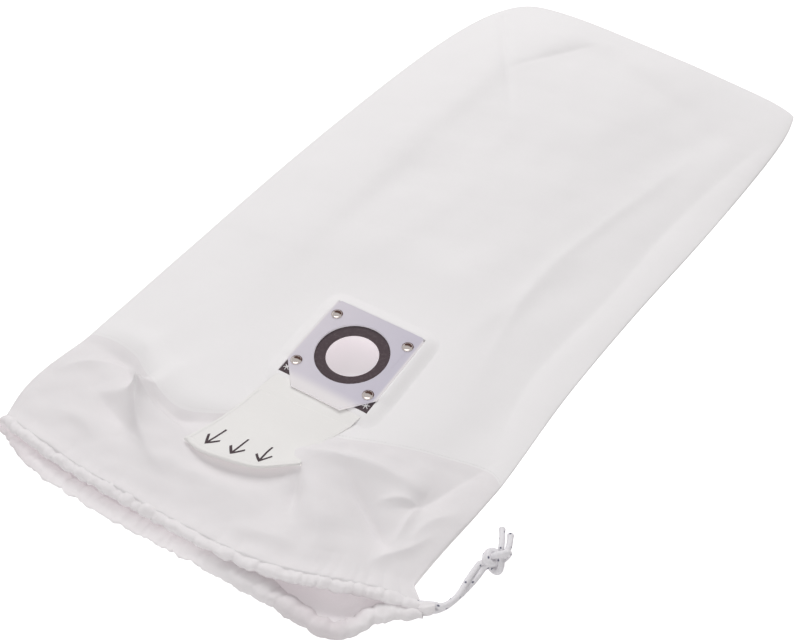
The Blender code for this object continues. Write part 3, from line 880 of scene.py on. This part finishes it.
def hem_path():
    """One line through both casings: along the upper lip from the right, and back along the lower one."""
    share = np.linspace(0.0, 1.0, 200)
    front, back = spline(FRONT_LIP, share)[::-1], spline(BACK_LIP, share)
    path = resample(np.concatenate([front[:-1], [LEFT_CORNER], back[1:]]), 400)
    for _ in range(6):
        path[1:-1] = 0.25 * path[:-2] + 0.5 * path[1:-1] + 0.25 * path[2:]
    return resample(path, HEM_STEPS)


def tucks(length, seed):
    """Gathers along a length: 0 in each tuck and 1 between two of them."""
    rng = np.random.default_rng(seed)
    places = [0.0]
    while places[-1] < 1.4:
        places.append(places[-1] + rng.uniform(*TUCK_PITCH))
    places = np.array(places)
    index = np.clip(np.searchsorted(places, length, side="right") - 1, 0, len(places) - 2)
    share = (length - places[index]) / (places[index + 1] - places[index])
    depth = rng.uniform(0.25, 1.0, len(places))[index]
    return 1.0 - depth * (1.0 - np.sin(math.pi * np.clip(share, 0.0, 1.0)) ** 0.7)


def lip_points(path, top):
    """Where each column of the skirt meets the hem, and how far along the hem that is."""
    corner = int(np.argmin(path[:, 0]))
    half = path[:corner + 1][::-1] if top else path[corner:]
    wanted = (across_stations() + 1.0) / 2.0 * lengths_along(half)[-1]
    start = lengths_along(path)[corner]
    return at_lengths(half, wanted), start - wanted if top else start + wanted


def skirt_grid(path, top, seam):
    """Rows of the skirt from the hem to the seam, as drawn in at the right and gathered at the hem."""
    points, length = lip_points(path, top)
    share = np.linspace(1.0, 0.0, SKIRT_ROWS)[:, None]
    across = across_stations()[None, :]
    grid = seam[None] * (1.0 - share[..., None]) + points[None] * share[..., None]
    pull_share, pull_x, pull_y = np.array(RIGHT_PULL).T
    right = np.clip((across - 0.45) / 0.55, 0.0, 1.0) ** 2
    x = grid[..., 0] - SKIRT_BULGE * np.sin(math.pi * share ** 1.3) * np.clip(-across, 0.0, 1.0) ** 3
    x = x + np.interp(share, pull_share, pull_x) * right
    y = grid[..., 1] + np.interp(share, pull_share, pull_y) * right
    z = grid[..., 2].copy()
    gathers = tucks(length, 5)[None, :]
    from_lip = (1.0 - share) * SKIRT_LENGTH
    if top:
        inside = side_rise(across) * (1.0 - share) + np.sqrt(1.0 - np.abs(across) ** 8) * share
        off_lip = ease((1.0 - share) / 0.05)
        z += seam_relief(x, y) * inside * off_lip
        crumple = 0.0009 * waves(x, y, 0.05, 8) + 0.0006 * waves(x, y, 0.022, 9)
        z += crumple * inside * off_lip * ease(share / 0.10)
        z += 0.0030 * np.sin(math.pi * share) * inside
        z += 0.0042 * np.exp(-((from_lip - 0.003) / 0.009) ** 2) * ease(from_lip / 0.0028) * inside
        z += 0.0030 * (gathers - 0.6) * np.exp(-from_lip / 0.012) * ease((from_lip - 0.001) / 0.003)
        z = np.maximum(z, 0.0095 * inside)
    else:
        fall = 1.0 - np.abs(across) ** 12
        z = z * (1.0 - fall * (1.0 - ease((share - 0.84) / 0.16))) + LOWEST
        z += 0.0012 * (gathers - 0.4) * np.exp(-from_lip / 0.010) * ease(from_lip / 0.004) * fall
        z = np.maximum(z, 0.0002)
    return np.stack([x, y, z], axis=-1)


def bend_with_lip(thing):
    """Bakes a piece's transform into its mesh."""
    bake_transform(thing)


def add_skirt(path):
    seam_top, seam_bottom = body_grid(True, False)[0], body_grid(False)[0]
    top, bottom = skirt_grid(path, True, seam_top), skirt_grid(path, False, seam_bottom)
    skirt = add_ring("skirt", top, bottom, SKIRT_LOOK, 1e-6)
    thicken(skirt, SKIRT_CLOTH, SKIRT_LINING)
    bend_with_lip(skirt)
    assign(skirt, nodes=["skirt_front", "skirt_back"])


def add_hem_tube(name, points):
    """A tube of hem cloth, kept above the floor."""
    points[..., 2] = np.maximum(points[..., 2], LOWEST)
    tube = add_mesh(name, points, grid_faces(*points.shape[:2], closed=True), HEM_LOOK)
    thicken(tube, HEM_CLOTH)
    return tube


def add_hem(path):
    """The gathered casing round the mouth: a puckered tube, made as a front half and a back half."""
    length = lengths_along(path)[:, None]
    corner = int(np.argmin(path[:, 0]))
    turn = full_turn(HEM_SIDES)[None, :]
    gather = tucks((length + 0.0018 * np.sin(turn)).ravel(), 5).reshape(HEM_STEPS, HEM_SIDES)
    lower = ease((np.arange(HEM_STEPS) - corner) / 40.0)[:, None]
    ruffle = 0.0010 * waves(length, turn * 0.004, 0.016, 12) + 0.0005 * waves(length, turn * 0.004, 0.006, 15)
    narrow = 0.62 + 0.38 * ease(np.minimum(length, length[-1] - length) / 0.030)
    slack = 0.0044 * np.exp(-((path[:, :1] - 0.080) / 0.045) ** 2) * lower
    wide = (0.0040 + (0.0022 - 0.0008 * lower) * gather + 0.0036 * lower + slack + ruffle) * narrow
    high = (0.0030 + 0.0020 * gather + 0.0030 * lower + 0.3 * slack + ruffle) * narrow
    points = tube_points(path, (0.0, -1.0, 0.0), turn, wide, high)
    front = add_hem_tube("mouth_hem_front", points[:corner + 1])
    bend_with_lip(front)
    assign(front, nodes=["hem_casing_front", "drawstring_front"])
    back = add_hem_tube("mouth_hem_back", points[corner:])
    assign(back, "bag", ["hem_casing_back", "drawstring_back"])


def add_exit():
    """The pinched end of the hem, drawn in round the two strands of cord."""
    share = np.linspace(0.0, 1.0, EXIT_STEPS)
    path = resample(spline(EXIT_ROUTE, share), EXIT_STEPS)
    share, turn = share[:, None], full_turn(EXIT_SIDES)[None, :]
    pleats = 1.0 + 0.07 * np.cos(7.0 * turn + 2.0 * share) + 0.04 * np.cos(3.0 * turn - 4.0 * share)
    wide = spline((0.0020, 0.0046, 0.0058, 0.0052, 0.0035), share) * pleats
    high = spline((0.0020, 0.0046, 0.0060, 0.0062, 0.0056), share) * pleats
    points = tube_points(path, (0.4, -0.8, 0.0), turn, wide, high)
    assign(add_hem_tube("cord_exit_hem", points), "bag", ["cord_exit_sleeve"])


# ---- tab


# Edges of the tab, in mm
TAB_LEFT = ((-29, -246, 32.4), (-31, -272, 33.2), (-35, -300, 35.6), (-43, -329, 38.0))
TAB_RIGHT = ((67, -231, 30.5), (60, -254, 30.5), (54, -276, 33.8), (60, -291, 37.4))
TAB_FREE = ((-43, -329, 38.0), (-20, -331, 39.2), (8, -325, 39.8), (34, -314, 39.2), (60, -291, 37.4))
TAB_ROOT = ((-29, -246, 32.4), (3, -241, 32.9), (35, -236, 32.9), (67, -231, 30.5))
ROOT_STRIP = ((-26, -221, 32.6), (5, -220, 33.3), (38, -219, 33.3), (69, -218, 32.2))
TAB_CLOTH = 0.0009
TAB_WIDTH = 0.100
TAB_LENGTH = 0.080
# Printed arrows, in shares of the tab
ARROW_CENTRES = (0.20, 0.45, 0.70)
ARROW_FROM_ROOT = 0.680
ARROW_WIDTH = 0.150
ARROW_LENGTH = 0.195


def tab_surface(u, v):
    """Point of the tab, u from its left edge to its right one and v from its root to its free edge."""
    left, right = spline(TAB_LEFT, v), spline(TAB_RIGHT, v)
    root, free = spline(TAB_ROOT, u), spline(TAB_FREE, u)
    u, v = np.asarray(u)[..., None], np.asarray(v)[..., None]
    (first, last), (left_tip, right_tip) = (np.array(edge)[[0, -1]] for edge in (TAB_ROOT, TAB_FREE))
    corners = (first * (1 - u) + last * u) * (1 - v) + (left_tip * (1 - u) + right_tip * u) * v
    point = (left * (1 - u) + right * u + root * (1 - v) + free * v - corners) * MM
    point[..., 2] += 0.0007 * waves(point[..., 0], point[..., 1], 0.05, 21) * v[..., 0]
    return point


def tab_height(u, v):
    """The extra layers of the tab's turned hems."""
    from_free = (1.0 - v) * TAB_LENGTH
    left_hem = 0.0003 * ease((0.0052 - u * TAB_WIDTH) / 0.0016)
    right_hem = 0.0003 * ease((0.0056 - (1.0 - u) * TAB_WIDTH) / 0.0010)
    free_hem = 0.0009 * ease((0.0072 - from_free) / 0.0014)
    rolled = 0.0020 * ease(from_free / 0.0026) - 0.0020
    return np.maximum(np.maximum(left_hem, right_hem), free_hem) + rolled


def tab_bend(thing):
    """Bakes the transform of a piece of the tab into its mesh."""
    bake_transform(thing)


def lifted(u, v, lift):
    """Points of the tab's surface moved up by lift, straight off it."""
    point = tab_surface(u, v)
    step = 1e-3
    across = tab_surface(u + step, v) - point
    along = tab_surface(u, v + step) - point
    normal = -np.cross(across, along)
    normal /= np.linalg.norm(normal, axis=-1)[..., None]
    return point + normal * lift[..., None]


def add_tab():
    u, v = np.meshgrid(np.linspace(0.0, 1.0, 120), np.linspace(1.0, 0.0, 96))
    tab = add_mesh("pull_tab_cloth", lifted(u, v, tab_height(u, v)), grid_faces(*u.shape), TAB_LOOK)
    # The rim gets the lining's material, so it has the same painted glow.
    thicken(tab, TAB_CLOTH, TAB_LINING, rim=True)
    tab_bend(tab)
    assign(tab, nodes=["pull_tab"])
    return tab


def add_tab_root():
    """The part of the tab that is sewn flat on the body and runs under the port's tongue."""
    u, v = np.meshgrid(np.linspace(0.0, 1.0, 80), np.linspace(1.0, 0.0, 16))
    near, far = tab_surface(u, np.full(u.shape, 0.02)), spline(ROOT_STRIP, u) * MM
    points = far + (near - far) * np.stack([v, v, ease(v)], axis=-1)
    points[..., 2] -= 0.0001 * v
    root = add_mesh("pull_tab_root", points, grid_faces(*u.shape), TAB_LOOK)
    thicken(root, 0.0006)
    assign(root, "bag")


def arrow_strokes():
    """The three thin strokes of a plain arrow, in shares of its own size, pointing to v = 1."""
    shaft = [(-0.06, -0.25), (0.06, -0.25), (0.06, 0.84), (-0.06, 0.84)]
    barb = [(0.42, 0.42), (0.50, 0.52), (0.0, 1.02), (0.0, 0.82)]
    return shaft, barb, [(-a, b) for a, b in reversed(barb)]


def add_print():
    """Three printed arrows that point at the mouth."""
    work = bmesh.new()
    for centre in ARROW_CENTRES:
        for stroke in arrow_strokes():
            work.faces.new([
                work.verts.new((centre + ARROW_WIDTH * a, ARROW_FROM_ROOT + ARROW_LENGTH * b, 0.0))
                for a, b in stroke
            ])
    for _ in range(4):
        bmesh.ops.subdivide_edges(work, edges=work.edges, cuts=1, use_grid_fill=True)
    u, v = np.array([vertex.co[:2] for vertex in work.verts]).T
    for vertex, place in zip(work.verts, lifted(u, v, tab_height(u, v) + 0.00012)):
        vertex.co = place
    bmesh.ops.recalc_face_normals(work, faces=work.faces)
    mesh = bpy.data.meshes.new("printed_arrows")
    work.to_mesh(mesh)
    work.free()
    mesh.materials.append(PRINT_LOOK)
    arrows = link("printed_arrows", mesh)
    tab_bend(arrows)
    assign(arrows)
    return arrows


# ---- stitching


def stitches(name, path, pitch, length, radius):
    """A row of short threads lying along a path, as one mesh."""
    total = lengths_along(path)[-1]
    count = max(int(round(total / pitch)), 1)
    where = at_lengths(path, np.linspace(0.0, total, count * 2 + 1))
    turn = full_turn(THREAD_SIDES)[:, None]
    points, faces = [], []
    for index in range(count):
        ahead = where[2 * index + 2] - where[2 * index]
        ahead /= np.linalg.norm(ahead)
        side = np.cross(ahead, (0.0, 0.0, 1.0))
        side /= np.linalg.norm(side)
        up = np.cross(side, ahead)
        spoke = side * np.cos(turn) + up * np.sin(turn)
        base = index * len(THREAD_RINGS) * THREAD_SIDES
        for share, wide in THREAD_RINGS:
            middle = where[2 * index + 1] + ahead * share * length - up * radius * 1.6 * (2.0 * share) ** 2
            points.append(middle + spoke * radius * wide)
        faces += (grid_faces(len(THREAD_RINGS), THREAD_SIDES, closed=True) + base).tolist()
        last = base + THREAD_SIDES * (len(THREAD_RINGS) - 1)
        faces += [list(range(base, base + THREAD_SIDES))[::-1], list(range(last, last + THREAD_SIDES))]
    return add_mesh(name, np.array(points), faces, THREAD_LOOK)


def add_tab_stitches():
    rows = []
    side = np.linspace(0.03, 0.985, 60)
    for name, u, v in (
        ("tab_stitches_left", np.full(60, 0.047), side),
        ("tab_stitches_right", np.full(60, 0.953), side),
        ("tab_stitches_free", np.linspace(0.047, 0.953, 60), np.full(60, 0.92)),
    ):
        path = lifted(u, v, tab_height(u, v) + 0.0001)
        row = stitches(name, path, pitch=0.0030, length=0.0024, radius=0.00022)
        tab_bend(row)
        assign(row)
        rows.append(row)
    return rows


def add_seam_stitches():
    seam = body_grid(True)[:2, 4:-4]
    path = 0.45 * seam[0] + 0.55 * seam[1]
    path[:, 2] += 0.0001
    assign(stitches("seam_stitches", path, pitch=0.0032, length=0.0024, radius=0.00025), "bag")


# ---- port


def at_port(points):
    """Points given from the port's centre and along its own sides, in the bag's frame."""
    turn = Matrix.Rotation(PORT_TURN, 3, "Z")
    return np.asarray(points) @ np.array(turn).T + (*PORT_CENTRE, 0.0)


def round_edges(thing, width):
    bevel = thing.modifiers.new("rounded", "BEVEL")
    bevel.width = width
    bevel.segments = 3
    bevel.limit_method = "ANGLE"
    bevel.angle_limit = math.radians(40)


def dress(node, material, rounding=0.0):
    """Gives a CAD node its material and, where wanted, round edges. Its own mesh stays as it is."""
    thing = NODES[node]
    thing.data.materials.clear()
    thing.data.materials.append(material)
    if rounding:
        thing.modifiers.new("weld", "WELD").merge_threshold = 0.00001
        round_edges(thing, rounding)


def lathe(name, profile, place, material):
    """A round solid from (radius, height) points, its first and last on the axis."""
    turn = full_turn(LATHE_SIDES)
    radius, height = np.array(profile).T[:, :, None]
    points = np.stack(np.broadcast_arrays(radius * np.cos(turn), radius * np.sin(turn), height), axis=-1)
    points = at_port(points + (*place, 0.0))
    return add_mesh(name, points, grid_faces(len(profile), LATHE_SIDES, closed=True), material, 1e-7)


def add_rivets():
    """Domed rivets with a rolled rim, in place of the CAD's plainer ones."""
    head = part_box("rivet_1")[1].z - 0.0024
    edge = math.radians(78)
    dome = [
        (0.0047 * math.sin(turn) / math.sin(edge),
         head + 0.0006 + 0.0018 * (math.cos(turn) - math.cos(edge)) / (1.0 - math.cos(edge)))
        for turn in np.linspace(0.0, edge, 12)
    ]
    rim = [(0.0050, head + 0.0005), (0.0054, head + 0.0005), (0.0056, head + 0.0003), (0.0055, head)]
    places = [(x * RIVET_X, y * RIVET_Y) for y in (1, -1) for x in (-1, 1)]
    for number, place in enumerate(places, 1):
        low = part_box(f"rivet_{number}")[0].z
        tail = [
            (0.0021, head), (0.0021, low + 0.0016), (0.0036, low + 0.0016), (0.0036, low + 0.0006),
            (0.0027, low), (0.0, low),
        ]
        rivet = lathe(f"rivet_dome_{number}", (dome + rim + tail)[::-1], place, METAL_LOOK)
        rivet.data.set_sharp_from_angle(angle=math.radians(50))
        assign(rivet, "bag", [f"rivet_{number}"])


def add_patch():
    """Soft extra layer of fleece round the port, which sinks into the body at its edges."""
    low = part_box("reinforcing_patch")[1].z
    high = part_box("port_plate")[0].z - 0.0001
    step = (GASKET_HALF + 0.0002, GASKET_HALF + 0.0004)
    half = np.concatenate([np.linspace(0.001, 0.0486, 30), step, np.linspace(0.0502, 0.066, 18)])
    stations = np.concatenate([-half[::-1], half])
    x, y = np.meshgrid(stations, stations)
    beyond = np.maximum(np.abs(x), np.abs(y)) > GASKET_HALF + 0.0003
    rounded = (np.abs(x) ** 8 + np.abs(y) ** 8) ** 0.125
    beside = high + 0.0018 * ease((y + 0.034) / 0.008) * (rounded > 0.0501)
    middle = 0.5 * (LEFT_EDGE[0] + RIGHT_EDGE[1])
    across = (x + PORT_CENTRE[0] - middle) / (RIGHT_EDGE[1] - middle)
    fleece = FOLD_Z + (PORT_FLAT - FOLD_Z) * side_rise(across)
    sunk = beside - (beside - fleece + 0.00015) * ease((rounded - 0.0505) / 0.0155)
    points = at_port(np.stack([x, y, np.where(beyond, sunk, low)], axis=-1))
    patch = add_mesh("port_patch", points, grid_faces(*x.shape), FLEECE_LOOK)
    open_port(patch)
    thicken(patch, 0.0006)
    assign(patch, "bag", ["reinforcing_patch"])


def add_gasket():
    """Square sheet of rubber with the hose hole, a little smaller than the plate above it."""
    low, high = (corner.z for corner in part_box("rubber_gasket"))
    turn = full_turn(GASKET_SIDES)
    circle = np.stack([np.cos(turn), np.sin(turn)], axis=1)
    square = circle / np.abs(circle).max(axis=1)[:, None]
    hole, edge = circle * HOSE_HOLE, square * GASKET_HALF
    rows = [
        np.column_stack([outline, np.full(GASKET_SIDES, height)])
        for outline, height in ((hole, low), (hole, high), (edge, high), (edge, low), (hole, low))
    ]
    faces = grid_faces(len(rows), GASKET_SIDES, closed=True)
    gasket = add_mesh("rubber_sheet", at_port(rows), faces, RUBBER_LOOK, 1e-6)
    round_edges(gasket, 0.0004)
    assign(gasket, "bag", ["rubber_gasket"])


def add_corner_crosses():
    """White crosses of thread on the rubber's two front corners."""
    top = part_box("rubber_gasket")[1].z + 0.0005
    for name, x in (("left", -0.0440), ("right", 0.0440)):
        for number, turn in enumerate((0.4, 1.45, 2.5)):
            reach = np.array((math.cos(turn), math.sin(turn), 0.0)) * 0.0042
            middle = np.array((x, -0.0425, top))
            path = at_port(resample(np.array([middle - reach, middle + reach]), 12))
            piece = f"corner_thread_{name}_{number}"
            assign(stitches(piece, path, pitch=0.0084, length=0.0082, radius=0.00045), "bag")


def add_port():
    dress("port_plate", PLATE_LOOK, 0.0006)
    dress("backing_plate", PLATE_LOOK, 0.0003)
    add_gasket()
    for number in range(1, 5):
        dress(f"rivet_washer_{number}", METAL_LOOK)
    add_patch()
    add_rivets()
    add_corner_crosses()


# ---- floor and light


FLOOR_HALF = 6.0
BACK_CARD = ((-2.6, 1.4, 0.1), (1.6, 2.2, 0.1), (1.3, 1.5, 2.3), (-2.2, 0.9, 2.3))
FRONT_CARD = ((-1.0, -2.2, 0.2), (2.2, -1.0, 0.2), (1.9, -0.8, 1.5), (-0.9, -1.8, 1.5))


def add_area(name, place, size, power):
    """A rectangular light that faces the origin."""
    data = bpy.data.lights.new(name, "AREA")
    data.shape = "RECTANGLE"
    data.size, data.size_y = size
    data.energy = power
    light = link(name, data)
    light.location = place
    light.rotation_euler = (-Vector(place)).to_track_quat("-Z", "Y").to_euler()
    return light


def add_card(name, corners, colour, light):
    """A card beside the bag that is seen only in the rivets and the plate."""
    card = add_mesh(name, corners, [(0, 1, 2, 3)], plain_material(name, colour, 0.9, light=light))
    for kind in ("camera", "diffuse", "transmission", "shadow"):
        setattr(card, f"visible_{kind}", False)


def add_floor():
    """A white floor, which shines evenly in the picture but doesn't light the bag."""
    material, tree, shader = new_material("floor_white")
    feed(tree, shader, {
        "Base Color": (0.95, 0.95, 0.95, 1.0),
        "Roughness": 0.9,
        "Emission Color": (1.0, 1.0, 1.0, 1.0),
        "Emission Strength": 0.65,
    })
    corners = [(x * FLOOR_HALF, y * FLOOR_HALF, 0.0) for x, y in ((-1, -1), (1, -1), (1, 1), (-1, 1))]
    floor = add_mesh("floor", corners, [(0, 1, 2, 3)], material)
    floor.visible_diffuse = False


def add_studio():
    add_floor()
    add_card("brown_card", BACK_CARD, (0.11, 0.055, 0.045), 0.0)
    add_card("white_card", FRONT_CARD, (1.0, 1.0, 1.0), 1.1)
    add_area("key", (-1.8, 2.4, 3.2), (2.6, 2.0), 111.0).visible_glossy = False
    add_area("fill", (0.6, -1.6, 1.1), (1.8, 1.2), 8.0)
    world = bpy.data.worlds.new("studio")
    world.use_nodes = True
    tree = world.node_tree
    upward = parts_of(tree, add_node(tree, "TexCoord").outputs["Generated"])[2]
    feed(tree, tree.nodes["Background"], {
        "Color": (1.0, 0.985, 0.985, 1.0),
        "Strength": ramp(tree, upward, -0.3, 0.1, 0.70, 0.50),
    })
    bpy.context.scene.world = world
    bpy.context.scene.view_settings.view_transform = "Standard"


def main():
    add_camera()
    add_cords()
    add_body()
    path = hem_path()
    add_skirt(path)
    add_hem(path)
    add_exit()
    tab = add_tab()
    add_tab_root()
    arrows = add_print()
    threads = add_tab_stitches()
    add_seam_stitches()
    add_port()
    add_studio()


main()
